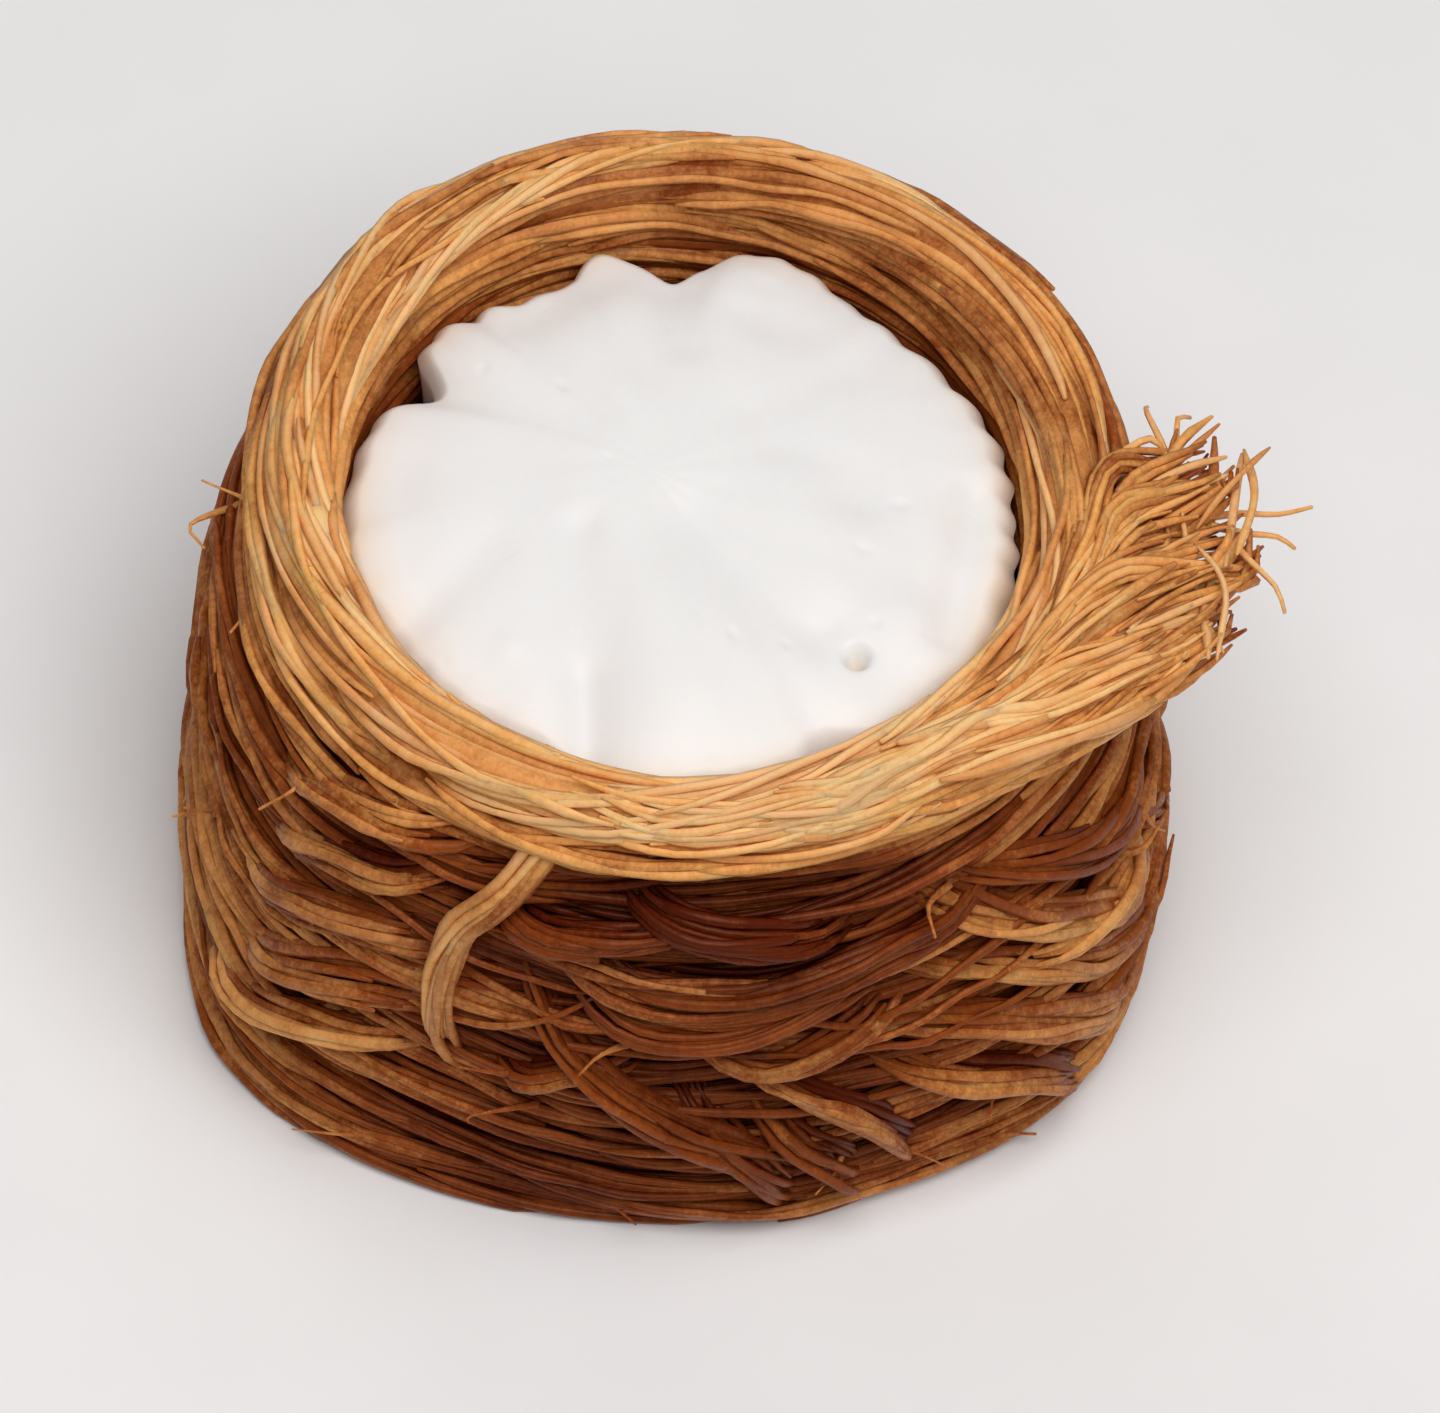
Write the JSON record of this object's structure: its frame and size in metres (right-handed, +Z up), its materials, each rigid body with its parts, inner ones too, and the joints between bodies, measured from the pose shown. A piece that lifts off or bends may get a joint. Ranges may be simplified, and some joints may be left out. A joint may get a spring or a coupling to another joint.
{
  "type": "kunafa nest",
  "caption": "Small round cup wound from crisp shredded pastry, with a rolled rim and a frayed tuft, filled with a piped white cream swirl.",
  "frame": {"origin": "middle of the flat underside that the nest stands on", "axes": "+Z up along the cup's axis, +X towards the loose tuft of the rim, -Y towards the side with the crossing hanks"},
  "size_m": [0.0498, 0.0479, 0.0322],
  "materials": {
    "fried_pastry": "crisp fried shredded pastry, golden orange on the rim and browner down the wall, slightly glossy with butter and syrup",
    "cream": "smooth white piped cream with a soft sheen"
  },
  "bodies": {
    "root": {"pastry_nest": "fried_pastry", "cream_swirl": "cream"}
  },
  "joints": []
}
